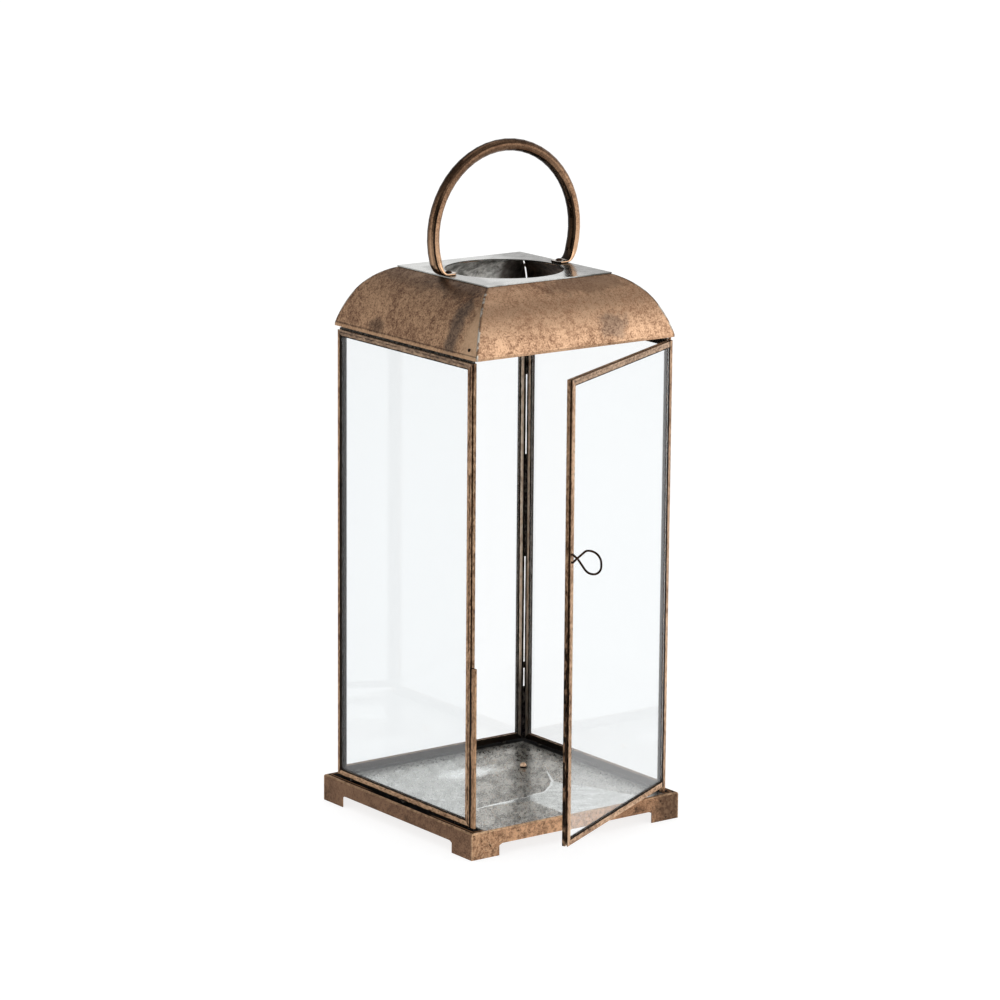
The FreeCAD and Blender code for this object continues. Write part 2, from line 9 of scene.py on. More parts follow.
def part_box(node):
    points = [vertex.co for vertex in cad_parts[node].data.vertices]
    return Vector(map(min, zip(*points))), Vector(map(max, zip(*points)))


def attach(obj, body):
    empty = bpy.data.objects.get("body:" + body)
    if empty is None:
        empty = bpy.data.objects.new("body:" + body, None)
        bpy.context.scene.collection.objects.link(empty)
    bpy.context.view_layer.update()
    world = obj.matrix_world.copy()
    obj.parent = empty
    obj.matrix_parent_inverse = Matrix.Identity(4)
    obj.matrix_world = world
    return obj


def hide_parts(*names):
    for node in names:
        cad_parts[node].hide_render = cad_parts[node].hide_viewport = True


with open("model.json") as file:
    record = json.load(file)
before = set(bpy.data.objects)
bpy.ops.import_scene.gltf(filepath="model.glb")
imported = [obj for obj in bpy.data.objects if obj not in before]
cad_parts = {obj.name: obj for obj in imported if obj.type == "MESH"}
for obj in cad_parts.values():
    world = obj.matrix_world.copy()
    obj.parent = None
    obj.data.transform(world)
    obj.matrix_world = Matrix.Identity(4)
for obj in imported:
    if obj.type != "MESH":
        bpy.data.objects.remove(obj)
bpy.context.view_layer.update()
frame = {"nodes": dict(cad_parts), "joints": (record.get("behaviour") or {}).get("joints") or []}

nodes = frame["nodes"]


# Base tray. One sheet of steel with a copper wash, folded down on four sides, with its corners left
# standing as feet. The skirt is rubbed brown, with painted shade on its left faces, painted light on its
# front face, and a bright line along the top fold and the corners that is partly rubbed and partly a
# painted highlight. The top is the lantern's floor, where the wash is worn through to grey metal, mottled
# by heat, marked by spilt wax and painted lighter in patches as a reflection; the ledge under the panels
# is painted black as shade.
def tone(code):
    channels = [int(code[i:i + 2], 16) / 255 for i in (0, 2, 4)]
    return [c / 12.92 if c <= 0.04045 else ((c + 0.055) / 1.055) ** 2.4 for c in channels] + [1.0]


def join(tree, value, socket):
    if isinstance(value, bpy.types.NodeSocket):
        tree.links.new(value, socket)
    else:
        socket.default_value = value


def put(tree, kind, inputs=None, **settings):
    made = tree.nodes.new("ShaderNode" + kind)
    for name, value in settings.items():
        setattr(made, name, value)
    for name, value in (inputs or {}).items():
        join(tree, value, made.inputs[name])
    return made


def blend(tree, amount, low, high):
    made = put(tree, "Mix", {0: amount, 6: low, 7: high}, data_type="RGBA")
    return made.outputs[2]


def between(tree, amount, low, high):
    return put(tree, "Mix", {0: amount, 2: low, 3: high}, data_type="FLOAT").outputs[0]


def figure(tree, operation, *values):
    return put(tree, "Math", dict(enumerate(values)), operation=operation).outputs[0]


def ramp(tree, value, low, high, start=0.0, end=1.0):
    made = put(tree, "MapRange", {"Value": value, "From Min": low, "From Max": high,
                                  "To Min": start, "To Max": end}, interpolation_type="SMOOTHSTEP")
    return made.outputs["Result"]


def along(tree, vector, direction):
    made = put(tree, "VectorMath", {0: vector, 1: direction}, operation="DOT_PRODUCT")
    return made.outputs["Value"]


def scaled(tree, vector, scale, shift=(0.0, 0.0, 0.0)):
    made = put(tree, "VectorMath", {0: vector, 1: scale, 2: shift}, operation="MULTIPLY_ADD")
    return made.outputs[0]


def cloud(tree, place, scale, detail, roughness=0.55, distortion=0.0):
    made = put(tree, "TexNoise", {"Vector": place, "Scale": scale, "Detail": detail,
                                  "Roughness": roughness, "Distortion": distortion})
    return made.outputs["Fac"]


def shader_group(name, inputs, outputs):
    tree = bpy.data.node_groups.new(name, "ShaderNodeTree")
    for direction, sockets in (("INPUT", inputs), ("OUTPUT", outputs)):
        for socket_name, kind in sockets:
            tree.interface.new_socket(socket_name, in_out=direction, socket_type="NodeSocket" + kind)
    return tree, tree.nodes.new("NodeGroupInput").outputs, tree.nodes.new("NodeGroupOutput").inputs


# Antique copper: a bright rubbed tone, a brown middle and a dark oxide in clouds, mottles and specks
patina, p_in, p_out = shader_group(
    "antique_copper",
    [("Bright", "Color"), ("Brown", "Color"), ("Oxide", "Color"), ("Age", "Float"),
     ("Oxide Amount", "Float"), ("Grain", "Vector"), ("Shift", "Vector")],
    [("Color", "Color"), ("Roughness", "Float"), ("Height", "Float")],
)
place = scaled(patina, put(patina, "TexCoord").outputs["Object"], p_in["Grain"], p_in["Shift"])
clouds = cloud(patina, place, 34.0, 5.0, 0.6, 0.4)
mottle = cloud(patina, place, 260.0, 6.0, 0.62, 0.3)
specks = cloud(patina, place, 900.0, 3.0, 0.6)
mixture = figure(patina, "ADD", figure(patina, "MULTIPLY", clouds, 0.40),
                 figure(patina, "ADD", figure(patina, "MULTIPLY", mottle, 0.50),
                        figure(patina, "MULTIPLY", specks, 0.60)))
aged = figure(patina, "ADD", mixture, figure(patina, "SUBTRACT", p_in["Age"], 0.75))
brown_mask = ramp(patina, aged, 0.36, 0.62)
speckle = ramp(patina, specks, 0.56, 0.68, 0.0, 0.45)
oxide_mask = figure(patina, "MULTIPLY", figure(patina, "MAXIMUM", ramp(patina, aged, 0.56, 0.72), speckle),
                    p_in["Oxide Amount"])
metal = blend(patina, brown_mask, p_in["Bright"], p_in["Brown"])
patina.links.new(blend(patina, oxide_mask, metal, p_in["Oxide"]), p_out["Color"])
patina.links.new(ramp(patina, aged, 0.35, 0.68, 0.34, 0.60), p_out["Roughness"])
patina.links.new(figure(patina, "ADD", figure(patina, "MULTIPLY", mottle, 0.6),
                        figure(patina, "MULTIPLY", specks, 0.4)), p_out["Height"])


def finish_material(name):
    made = bpy.data.materials.new(name)
    made.use_nodes = True
    tree = made.node_tree
    return made, tree, tree.nodes["Principled BSDF"]


def aged_copper(tree, bright, brown, oxide, age, oxide_amount, shift, grain=(1.0, 1.0, 1.0)):
    made = put(tree, "Group", node_tree=patina)
    for name, value in (("Bright", tone(bright)), ("Brown", tone(brown)), ("Oxide", tone(oxide)),
                        ("Age", age), ("Oxide Amount", oxide_amount), ("Shift", shift),
                        ("Grain", grain)):
        made.inputs[name].default_value = value
    return made.outputs


def relief(tree, height, strength, distance):
    made = put(tree, "Bump", {"Height": height, "Strength": strength, "Distance": distance})
    return made.outputs["Normal"]


def dress(tree, shader, colour, roughness, normal, metallic):
    tree.links.new(colour, shader.inputs["Base Color"])
    tree.links.new(roughness, shader.inputs["Roughness"])
    tree.links.new(normal, shader.inputs["Normal"])
    shader.inputs["Metallic"].default_value = metallic


def stain(tree, spot, centre, size, reach):
    offset = put(tree, "VectorMath", {0: spot, 1: centre}, operation="SUBTRACT").outputs[0]
    offset = put(tree, "VectorMath", {0: offset, 1: size}, operation="DIVIDE").outputs[0]
    distance = put(tree, "VectorMath", {0: offset}, operation="LENGTH").outputs["Value"]
    ragged = figure(tree, "SUBTRACT", cloud(tree, spot, 120.0, 5.0, 0.65, 0.5), 0.5)
    return ramp(tree, figure(tree, "MULTIPLY_ADD", ragged, reach, distance), 1.15, 0.45)


def wear(node_name, material):
    piece = nodes[node_name]
    piece.data.materials.clear()
    piece.data.materials.append(material)
    for face in piece.data.polygons:
        face.material_index = 0


floor_rim = 0.0803
fold_line = 0.0883
ledge_solder = 0.0864
across_floor = (0.804, -0.594, 0.0)
rolling = (0.21, 0.28, 0.0)
reflection_towards = (0.826, -0.564, 0.0)
spike_direction = (0.472, 0.882, 0.0)
spike_aside = (0.882, -0.472, 0.0)
spike_start = -0.00133
spike_offset = 0.03759
spike_length = 0.027
spike_half_width = 0.0011
spike_taper = -0.03
spike_root = 0.002
film_back = (0.10, -0.0375)
film_rise = (0.82, -0.0455)
film_end = (-2.2, 0.0526)
film_front = (0.10, 0.0485)
foot_start = 0.056
foot_full = 0.068
tray_metal, tree, shader = finish_material("tray_metal")
skirt = aged_copper(tree, "B98E6C", "8A674E", "3A2C23", 0.50, 0.85, (0.3, 0.1, 0.0))
spot = put(tree, "TexCoord").outputs
x, y, z = put(tree, "SeparateXYZ", {0: spot["Object"]}).outputs
aside = figure(tree, "ABSOLUTE", x)
reach = figure(tree, "MAXIMUM", aside, figure(tree, "ABSOLUTE", y))
on_ledge = ramp(tree, figure(tree, "MAXIMUM", aside, y), floor_rim - 0.0045, floor_rim - 0.0005)
on_fold = ramp(tree, reach, fold_line - 0.0003, fold_line + 0.0003)
across = along(tree, spot["Object"], across_floor)
rolled = put(tree, "CombineXYZ", {"X": across, "Y": along(tree, spot["Object"], rolling),
                                  "Z": z}).outputs[0]
floor_mottle = cloud(tree, rolled, 420.0, 6.0, 0.70, 0.3)
floor_grain = cloud(tree, rolled, 1000.0, 2.0, 0.6)
floor_mix = between(tree, 0.45, floor_mottle, floor_grain)
floor_patch = figure(tree, "SUBTRACT", cloud(tree, rolled, 150.0, 4.0, 0.6, 0.6), 0.5)
floor_mix = figure(tree, "MULTIPLY_ADD", floor_patch, 0.5, floor_mix)
floor_cloud = cloud(tree, spot["Object"], 26.0, 4.0, 0.55, 0.8)
floor_dark = blend(tree, ramp(tree, floor_mix, 0.40, 0.60), tone("5A564F"), tone("B9B5AE"))
rusty = ramp(tree, cloud(tree, rolled, 760.0, 2.0, 0.6), 0.58, 0.68, 0.0, 0.55)
floor_dark = blend(tree, rusty, floor_dark, tone("A98A6E"))
floor_light = blend(tree, ramp(tree, floor_mix, 0.36, 0.64), tone("A6A7A3"), tone("C8C9C6"))
# Painted reflection: the floor is painted lighter in wavy-edged patches towards the left and back and at
# the front right, where it mirrors the white room.
reflected_light = figure(tree, "MULTIPLY_ADD", floor_cloud, 0.02, along(tree, spot["Object"], reflection_towards))
reflected_light = ramp(tree, reflected_light, -0.004, -0.020, 0.0, 0.8)
reflected_light = figure(tree, "MAXIMUM", reflected_light, ramp(tree, across, 0.043, 0.053, 0.0, 0.5))
floor_dark = blend(tree, reflected_light, floor_dark, floor_light)
waver = figure(tree, "MULTIPLY", figure(tree, "SUBTRACT", floor_cloud, 0.5), 0.012)
film_top = figure(tree, "MAXIMUM", figure(tree, "MULTIPLY_ADD", x, *film_back),
                  figure(tree, "MULTIPLY_ADD", x, *film_rise))
crest_top = figure(tree, "ADD", figure(tree, "SUBTRACT", film_top, y), waver)
film_right = figure(tree, "SUBTRACT", figure(tree, "MULTIPLY_ADD", x, *film_end), y)
film_top = figure(tree, "MINIMUM", crest_top, figure(tree, "MULTIPLY_ADD", film_right, 0.41, waver))
spike_run = figure(tree, "SUBTRACT", along(tree, spot["Object"], spike_direction), spike_start)
spike_side = figure(tree, "SUBTRACT", along(tree, spot["Object"], spike_aside), spike_offset)
spike = figure(tree, "SUBTRACT", figure(tree, "MULTIPLY_ADD", spike_run, spike_taper, spike_half_width),
               figure(tree, "ABSOLUTE", spike_side))
spike = figure(tree, "MINIMUM", spike, figure(tree, "SUBTRACT", spike_length, spike_run))
spike = figure(tree, "MINIMUM", spike, figure(tree, "ADD", spike_run, spike_root))
film_top = figure(tree, "MAXIMUM", film_top, spike)
crest_top = figure(tree, "MAXIMUM", crest_top, spike)
film_low = figure(tree, "MAXIMUM", figure(tree, "ADD", figure(tree, "MULTIPLY_ADD", x, *film_front), y),
                  figure(tree, "ADD", x, 0.008))
film = figure(tree, "MINIMUM", film_top, figure(tree, "SUBTRACT", film_low, waver))
wax_film = ramp(tree, film, -0.0008, 0.0022)
wax_crest = figure(tree, "MULTIPLY", ramp(tree, film, -0.0006, 0.0008),
                   ramp(tree, crest_top, 0.0035, 0.0008))
streak_place = scaled(tree, rolled, (60.0, 420.0, 1.0))
streaks = ramp(tree, cloud(tree, streak_place, 1.0, 4.0, 0.6), 0.46, 0.66, 0.0, 0.6)
wax_tone = blend(tree, streaks, floor_light, tone("DCDDDB"))
floor_tone = blend(tree, wax_film, floor_dark, wax_tone)
wax_pool = stain(tree, spot["Object"], (-0.004, 0.033, 0.019), (0.026, 0.014, 0.1), 1.0)
scratch_place = scaled(tree, rolled, (120.0, 440.0, 1.0))
scratches = figure(tree, "MULTIPLY", ramp(tree, cloud(tree, scratch_place, 1.0, 3.0, 0.6), 0.645, 0.675),
                   ramp(tree, across, 0.01, -0.02, 0.4, 1.0))
white_marks = figure(tree, "MAXIMUM", figure(tree, "MAXIMUM", wax_crest, wax_pool), scratches)
floor_tone = blend(tree, figure(tree, "MULTIPLY", white_marks, 0.85), floor_tone, tone("E8E9E7"))
# Painted shade: the ledge under the panels' bottom rails is near black, with a brown solder line along it.
ledge_shade_tone = blend(tree, ramp(tree, floor_mottle, 0.4, 0.7), tone("080604"), tone("1C140E"))
solder_line = figure(tree, "ABSOLUTE", figure(tree, "SUBTRACT", reach, ledge_solder))
solder_line = figure(tree, "MULTIPLY", ramp(tree, solder_line, 0.0009, 0.0004, 0.0, 0.8),
                     ramp(tree, figure(tree, "MINIMUM", aside, figure(tree, "ABSOLUTE", y)), 0.030, 0.050))
ledge_shade_tone = blend(tree, solder_line, ledge_shade_tone, tone("C0946F"))
top_tone = blend(tree, on_ledge, floor_tone, ledge_shade_tone)
facing_up = put(tree, "SeparateXYZ", {0: spot["Normal"]}).outputs["Z"]
on_top = figure(tree, "MULTIPLY", ramp(tree, facing_up, 0.90, 0.97), ramp(tree, z, 0.0180, 0.0186))
flat_top = figure(tree, "MULTIPLY", on_top, figure(tree, "SUBTRACT", 1.0, on_fold))
# Partly rubbed, partly painted highlight: the top fold is painted bright where it faces up.
rubbed_and_highlit = figure(tree, "MULTIPLY", ramp(tree, facing_up, 0.2, 0.6), on_fold)
skirt_tone = blend(tree, stain(tree, spot["Object"], (0.084, -0.090, 0.006), (0.017, 0.02, 0.03), 1.4),
                   skirt["Color"], tone("654C3A"))
facing_left = along(tree, spot["Normal"], (-1.0, 0.0, 0.0))
# Painted shade: the skirt's left-facing sides are painted darker.
skirt_tone = blend(tree, ramp(tree, facing_left, 0.4, 0.8, 0.0, 0.45), skirt_tone, tone("5C4536"))
facing_front = along(tree, spot["Normal"], (0.0, -1.0, 0.0))
on_foot = ramp(tree, figure(tree, "MINIMUM", aside, figure(tree, "ABSOLUTE", y)), foot_start, foot_full)
# Painted light: the front-facing skirt is painted lighter, fading out to the right under the door.
apron = figure(tree, "MULTIPLY", ramp(tree, facing_front, 0.4, 0.8), figure(tree, "SUBTRACT", 1.0, on_foot))
apron = figure(tree, "MULTIPLY", apron, ramp(tree, x, 0.045, 0.020))
apron_mottle = ramp(tree, cloud(tree, spot["Object"], 330.0, 5.0, 0.68), 0.40, 0.60, 0.05, 0.90)
skirt_tone = blend(tree, figure(tree, "MULTIPLY", apron, apron_mottle), skirt_tone, tone("DCAF89"))
on_foot = figure(tree, "MULTIPLY", on_foot, ramp(tree, facing_left, 0.8, 0.4))
near_foot = figure(tree, "MULTIPLY", on_foot, ramp(tree, x, 0.05, 0.03, 0.2, 1.0))
glints = ramp(tree, cloud(tree, spot["Object"], 420.0, 5.0, 0.65), 0.46, 0.60, 0.0, 0.65)
glints = figure(tree, "MULTIPLY", glints, near_foot)
skirt_tone = blend(tree, glints, skirt_tone, tone("DDB48E"))
grime = ramp(tree, cloud(tree, spot["Object"], 300.0, 6.0, 0.70), 0.54, 0.64, 0.0, 0.80)
grime = figure(tree, "MULTIPLY", grime, on_foot)
skirt_tone = blend(tree, grime, skirt_tone, tone("33271F"))
off_corner = figure(tree, "ABSOLUTE", figure(tree, "SUBTRACT", aside, figure(tree, "ABSOLUTE", y)))
# Partly rubbed, partly painted highlight: the corner edges of the skirt are painted bright too.
rubbed_and_highlit = figure(tree, "MAXIMUM", rubbed_and_highlit, ramp(tree, off_corner, 0.0013, 0.0005, 0.0, 0.8))
outside = blend(tree, figure(tree, "MULTIPLY", rubbed_and_highlit, ramp(tree, floor_mottle, 0.42, 0.58, 0.25, 0.8)),
                skirt_tone, tone("E0BA94"))
floor_rough = between(tree, wax_film, ramp(tree, floor_mottle, 0.3, 0.7, 0.22, 0.40), 0.16)
top_rough = between(tree, on_ledge, floor_rough, 1.0)
flux_lumps = figure(tree, "MULTIPLY", figure(tree, "MULTIPLY", on_ledge, flat_top), floor_cloud)
tray_height = figure(tree, "MULTIPLY_ADD", flux_lumps, figure(tree, "MULTIPLY", floor_mottle, 14.0),
                     skirt["Height"])
dress(tree, shader, blend(tree, flat_top, outside, top_tone),
      between(tree, flat_top, skirt["Roughness"], top_rough), relief(tree, tray_height, 0.25, 0.0004), 0.9)
wear("base_tray", tray_metal)


# Floor rivet. A small copper rivet through the tray's top, brighter than the floor around it. Its head
# is hammered to a high dome, painted light on its crown and painted black as shade round its lower sides,
# and its shank fills the hole in the tray.
def rivet_metal(name, shaded_rim, lit_crown):
    made, tree, shader = finish_material(name)
    rivet_tone = aged_copper(tree, "EBCBAE", "C39775", "5A4231", 0.44, 0.6, (0.7, 0.2, 0.4))
    crown = put(tree, "SeparateXYZ", {0: put(tree, "TexCoord").outputs["Normal"]}).outputs["Z"]
    # Painted light and shade: copper where the surface faces up, near black where it turns down to the
    # sides.
    lit_and_bare = ramp(tree, crown, shaded_rim, lit_crown)
    dress(tree, shader, blend(tree, lit_and_bare, tone("2A1E16"), rivet_tone["Color"]), rivet_tone["Roughness"],
          relief(tree, rivet_tone["Height"], 0.3, 0.0003), 0.95)
    return made


def ring_skin(first, steps, count):
    faces = [tuple(reversed(range(first, first + count)))]
    for step in range(steps):
        for edge in range(count):
            here = first + step * count + edge
            beside = first + step * count + (edge + 1) % count
            faces.append((here, beside, beside + count, here + count))
    last = first + steps * count
    faces.append(tuple(range(last, last + count)))
    return faces


low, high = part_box("floor_rivet")
rivet_middle = (low + high) / 2
head_radius = (high.x - low.x) / 2
shank_radius = 0.0012
tray_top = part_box("base_tray")[1].z
rivet_profile = (
    (shank_radius, low.z), (shank_radius, tray_top), (head_radius, tray_top),
    (head_radius * 1.05, tray_top + 0.0008), (head_radius, tray_top + 0.0017),
    (head_radius * 0.80, tray_top + 0.0026), (head_radius * 0.48, tray_top + 0.0032),
    (head_radius * 0.16, tray_top + 0.0034),
)
rivet_sides = 24
rivet_points = []
for radius, height in rivet_profile:
    for side in range(rivet_sides):
        turn = 2 * math.pi * side / rivet_sides
        rivet_points.append((rivet_middle.x + radius * math.cos(turn),
                             rivet_middle.y + radius * math.sin(turn), height))
rivet_faces = ring_skin(0, len(rivet_profile) - 1, rivet_sides)
dome_mesh = bpy.data.meshes.new("floor_rivet_dome")
dome_mesh.from_pydata(rivet_points, [], rivet_faces)
dome_mesh.polygons.foreach_set("use_smooth", [True] * len(rivet_faces))
dome_mesh.materials.append(rivet_metal("dome_copper", -0.10, 0.22))
rivet_dome = bpy.data.objects.new("floor_rivet_dome", dome_mesh)
bpy.context.scene.collection.objects.link(rivet_dome)
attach(rivet_dome, "lantern")
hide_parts("floor_rivet")


# Framing strips of the three fixed panels. Each is folded from thin copper-washed sheet round the edge of
# the glass. The outer faces are rubbed copper, streaked along the fold. The open folds, the inner faces,
# the open edges and thin lines along the crease, beside the pane and low on the bottom rails are painted
# near black as shade, but for the inner faces of two at the right back corner, which are rubbed partly
# bare.
up = Vector((0.0, 0.0, 1.0))
fold_half = 0.00150
fold_blur = 0.00008
line_blur = 0.0002
sooted_height = 0.062
bare_height = 0.085
black_fade = 0.09


def strip_metal(name, outward, middle, inward, black_edge, grain, shift,
                crease_depth=0.45, pane_line=0.0, low_shade_line=0.0, greyed=0.0, bare_inside=0.0,
                shaded_below=0.0):
    made, tree, shader = finish_material(name + "_metal")
    copper = aged_copper(tree, "E2BB96", "A27D60", "2A1F17", 0.50, 0.95, shift, grain)
    spot = put(tree, "TexCoord").outputs
    depth = figure(tree, "SUBTRACT", along(tree, spot["Object"], outward), middle)
    # Painted shade: the open fold is painted near black.
    hidden = figure(tree, "MULTIPLY", ramp(tree, depth, fold_half + fold_blur, fold_half),
                    ramp(tree, depth, -fold_half - fold_blur, -fold_half))
    web = ramp(tree, depth, 0.0003, 0.00045)
    fold = figure(tree, "MULTIPLY", hidden, web)
    # Painted shade: the inner faces are painted near black.
    inner_face = ramp(tree, along(tree, spot["Normal"], outward), -0.3, -0.7)
    shade_and_soot = figure(tree, "MULTIPLY", inner_face, 0.97)
    reaches = [vertex.co.dot(inward) for vertex in nodes[name].data.vertices]
    ragged = cloud(tree, scaled(tree, spot["Object"], grain), 420.0, 4.0, 0.6)
    waver = figure(tree, "MULTIPLY", figure(tree, "SUBTRACT", ragged, 0.5), 0.0012)
    from_edge = figure(tree, "SUBTRACT", along(tree, spot["Object"], inward), min(reaches))
    from_pane = figure(tree, "SUBTRACT", max(reaches), along(tree, spot["Object"], inward))
    if bare_inside:
        lit_and_bare = figure(tree, "MULTIPLY", ramp(tree, from_edge, bare_inside, bare_inside + 0.0004),
                      ramp(tree, along(tree, spot["Object"], up), sooted_height, bare_height, 0.35, 1.0))
        shade_and_soot = figure(tree, "MULTIPLY", shade_and_soot, figure(tree, "MULTIPLY_ADD", lit_and_bare, -0.95, 1.0))
    # Painted shade: a ragged dark line along the crease.
    crease = figure(tree, "MULTIPLY", ramp(tree, from_edge, 0.0009, 0.0012),
                    ramp(tree, from_edge, 0.0022, 0.0018))
    crease = figure(tree, "MULTIPLY", crease, ramp(tree, ragged, 0.62, 0.46, 0.0, crease_depth))
    outer_face = ramp(tree, along(tree, spot["Normal"], outward), 0.3, 0.7)
    # Painted shade: a dark line beside the pane.
    if pane_line:
        beside_pane = ramp(tree, figure(tree, "ADD", from_pane, waver),
                           pane_line + line_blur, pane_line - line_blur)
        crease = figure(tree, "MAXIMUM", crease, figure(tree, "MULTIPLY", beside_pane, 0.95))
    # Painted shade: a dark band along the lowest part of the bottom rail's outer face.
    if low_shade_line:
        low_shade = ramp(tree, figure(tree, "ADD", from_edge, waver),
                      low_shade_line + line_blur, low_shade_line - line_blur)
        low_shade = figure(tree, "MULTIPLY", low_shade, figure(tree, "MULTIPLY", outer_face, 0.95))
        crease = figure(tree, "MAXIMUM", crease, low_shade)
    # Painted shade: the open edges are darkened.
    open_edge = ramp(tree, along(tree, spot["Normal"], inward), -0.5, -0.8)
    open_edge = figure(tree, "MULTIPLY", open_edge,
                       ramp(tree, ragged, 0.60, 0.45, 0.5 * black_edge, black_edge))
    # Painted shade: the open edge is fully black below a given height, fading above it.
    if shaded_below:
        foot = ramp(tree, along(tree, spot["Object"], up), shaded_below + black_fade, shaded_below, 0.35, 1.0)
        open_edge = figure(tree, "MULTIPLY", open_edge, foot)
    shade_and_soot = figure(tree, "MAXIMUM", figure(tree, "MAXIMUM", shade_and_soot, crease), open_edge)
    colour = copper["Color"]
    if greyed:
        colour = blend(tree, figure(tree, "MULTIPLY", outer_face, greyed), colour, tone("918C84"))
    if bare_inside:
        silvered = figure(tree, "MULTIPLY", inner_face, ramp(tree, ragged, 0.35, 0.60, 0.45, 0.95))
        colour = blend(tree, silvered, colour, tone("F0E0CE"))
    colour = blend(tree, shade_and_soot, colour, tone("0E0A07"))
    colour = blend(tree, fold, colour, tone("0B0805"))
    dull = figure(tree, "MAXIMUM", fold, shade_and_soot)
    dress(tree, shader, colour, between(tree, dull, copper["Roughness"], 0.80),
          relief(tree, copper["Height"], 0.3, 0.0004), 0.9)
    wear(name, made)


upright_grain = (1.0, 1.0, 0.40)
low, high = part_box("left_bottom_rail")
side_middle = (abs(low.x) + abs(high.x)) / 2
strip_marks = {
    "left_front_stile": {"crease_depth": 0.9},
    "left_top_rail": {"crease_depth": 0.5, "pane_line": 0.0007, "greyed": 0.3},
    "left_bottom_rail": {"crease_depth": 0.0, "pane_line": 0.0007, "low_shade_line": 0.0006},
    "left_back_stile": {"crease_depth": 0.0, "pane_line": 0.0022},
    "back_left_stile": {"crease_depth": 0.0},
    "back_right_stile": {"crease_depth": 0.0, "pane_line": 0.0008, "bare_inside": 0.0010},
    "right_back_stile": {"crease_depth": 0.0, "pane_line": 0.0009, "bare_inside": 0.0007},
    "door_hinge_stile": {"crease_depth": 0.0, "pane_line": 0.0016},
    "door_top_rail": {"crease_depth": 0.3, "pane_line": 0.0006, "greyed": 0.25},
    "door_bottom_rail": {"crease_depth": 0.0, "pane_line": 0.0008},
    "door_free_stile": {"crease_depth": 0.15, "shaded_below": 0.137},
}
for side, outward, run, first, last in (
        ("left", Vector((-1.0, 0.0, 0.0)), Vector((0.0, 1.0, 0.0)), "front", "back"),
        ("right", Vector((1.0, 0.0, 0.0)), Vector((0.0, 1.0, 0.0)), "front", "back"),
        ("back", Vector((0.0, 1.0, 0.0)), Vector((1.0, 0.0, 0.0)), "left", "right")):
    rail_grain = (1.0 - 0.6 * run.x, 1.0 - 0.6 * run.y, 1.0)
    for index, (strip_name, inward, grain) in enumerate((
            (first + "_stile", run, upright_grain), (last + "_stile", -run, upright_grain),
            ("bottom_rail", up, rail_grain), ("top_rail", -up, rail_grain))):
        strip = side + "_" + strip_name
        strip_metal(strip, outward, side_middle, inward, 0.35, grain,
                    (0.13 * index, 0.29 * len(side), 0.17 * index), **strip_marks.get(strip, {}))

# Panes. Clear float glass, faintly blue, a little wavy and a little dusty. Each pane sits loose in the
# slots of its four strips, which are folded round it.
pane_glass, tree, shader = finish_material("pane_glass")
shader.inputs["Base Color"].default_value = (0.98, 0.994, 1.0, 1.0)
shader.inputs["Transmission Weight"].default_value = 0.97
shader.inputs["IOR"].default_value = 1.5
spot = put(tree, "TexCoord").outputs["Object"]
smear = cloud(tree, spot, 22.0, 4.0, 0.6, 1.0)
tree.links.new(ramp(tree, smear, 0.45, 0.8, 0.0, 0.03), shader.inputs["Roughness"])
tree.links.new(relief(tree, cloud(tree, spot, 9.0, 2.0), 0.02, 0.001), shader.inputs["Normal"])
clear = put(tree, "BsdfTransparent", {"Color": (0.97, 0.99, 1.0, 1.0)})
shaded = put(tree, "MixShader", {0: put(tree, "LightPath").outputs["Is Shadow Ray"],
                                 1: shader.outputs[0], 2: clear.outputs[0]})
tree.links.new(shaded.outputs[0], tree.nodes["Material Output"].inputs["Surface"])
for pane in ("left_glass", "right_glass", "back_glass", "door_glass"):
    wear(pane, pane_glass)

# Solder. Soft solder, dull grey under a dark skin of flux, melted in dots where the panels stand on the
# base and carry the roof, and across the one hip of the roof that is open.
solder, tree, shader = finish_material("soft_solder")
spot = put(tree, "TexCoord").outputs["Object"]
lumps = cloud(tree, spot, 420.0, 4.0, 0.6)
dress(tree, shader, blend(tree, ramp(tree, lumps, 0.4, 0.7), tone("1E1915"), tone("7C766D")),
      ramp(tree, lumps, 0.3, 0.7, 0.40, 0.65), relief(tree, lumps, 0.6, 0.0008), 0.8)
for seam in ("base_solder", "roof_solder", "hip_solder"):
    wear(seam, solder)

# Corner solder. Lumpy runs of the same soft solder, melted into the two back corners to hold the panels
# together, and a thin flash of it along the edges of the gap between the runs, where light shows.
panel_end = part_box("right_back_stile")[1].y
inner_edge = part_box("right_back_stile")[0].x
low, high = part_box("corner_solder")
run_leg = 0.0026
run_bulge = 0.58
end_taper = 0.8
run_heights = ((low.z, 0.0600), (0.0740, 0.0785), (0.1580, 0.2340), (0.2930, high.z))
flash_reach = 0.00039
flash_width = 0.0011
ring_step = 0.004
mean_swell = 0.95
long_lumps = (0.07, 2900.0)
short_lumps = (0.05, 6100.0)
corner_points = []
corner_faces = []


def add_bead(side, start, end, section):
    first = len(corner_points)
    steps = max(2, round((end - start) / ring_step))
    for step in range(steps + 1):
        height = start + (end - start) * step / steps
        swell = mean_swell + long_lumps[0] * math.sin(long_lumps[1] * height + side)
        swell += short_lumps[0] * math.sin(short_lumps[1] * height)
        if step in (0, steps):
            swell *= end_taper
        ring = section(swell)
        corner_points.extend((side * across, back, height) for across, back in ring)
    corner_faces.extend(ring_skin(first, steps, len(ring)))


def run_section(swell):
    leg = run_leg * swell
    bulge = panel_end + run_bulge * leg
    return ((panel_end, panel_end), (panel_end + leg, panel_end), (bulge, bulge),
            (panel_end, panel_end + leg))


def side_flash(swell):
    lip = flash_reach * swell
    return ((inner_edge, panel_end), (inner_edge + flash_width, panel_end),
            (inner_edge - lip, panel_end + lip))


def back_flash(swell):
    return tuple((back, across) for across, back in side_flash(swell))


